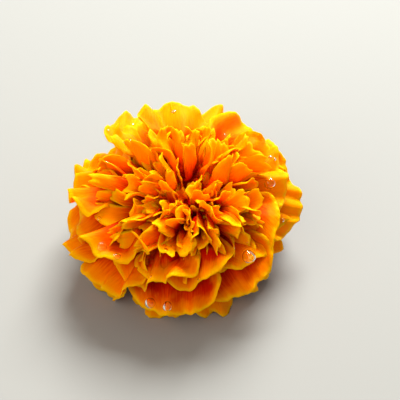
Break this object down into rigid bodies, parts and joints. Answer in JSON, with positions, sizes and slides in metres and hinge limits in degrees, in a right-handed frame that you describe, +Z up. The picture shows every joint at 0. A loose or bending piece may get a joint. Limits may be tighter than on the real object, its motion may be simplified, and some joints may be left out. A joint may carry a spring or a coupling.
{
  "type": "marigold flower",
  "caption": "Double marigold flower head, picked with a short stem stub: ruffled ray florets in tiers round a raised crest of small curled florets, over a ribbed green cup.",
  "frame": {"origin": "on the surface the flower rests on, below the middle of its bounding box", "axes": "+Z up from the surface; the flower faces up and leans a little toward -Y; +X to its right seen from -Y"},
  "size_m": [0.061, 0.0614, 0.0364],
  "materials": {
    "petals": "soft satin orange petal, deep red-orange at the base and golden yellow at the margin",
    "involucre": "matte green bract with paler ribs and small oil glands",
    "stem": "matte green stem skin, pale moist pith on the cut end"
  },
  "bodies": {
    "root": {"petals": "petals", "involucre": "involucre", "stem": "stem"}
  },
  "joints": []
}
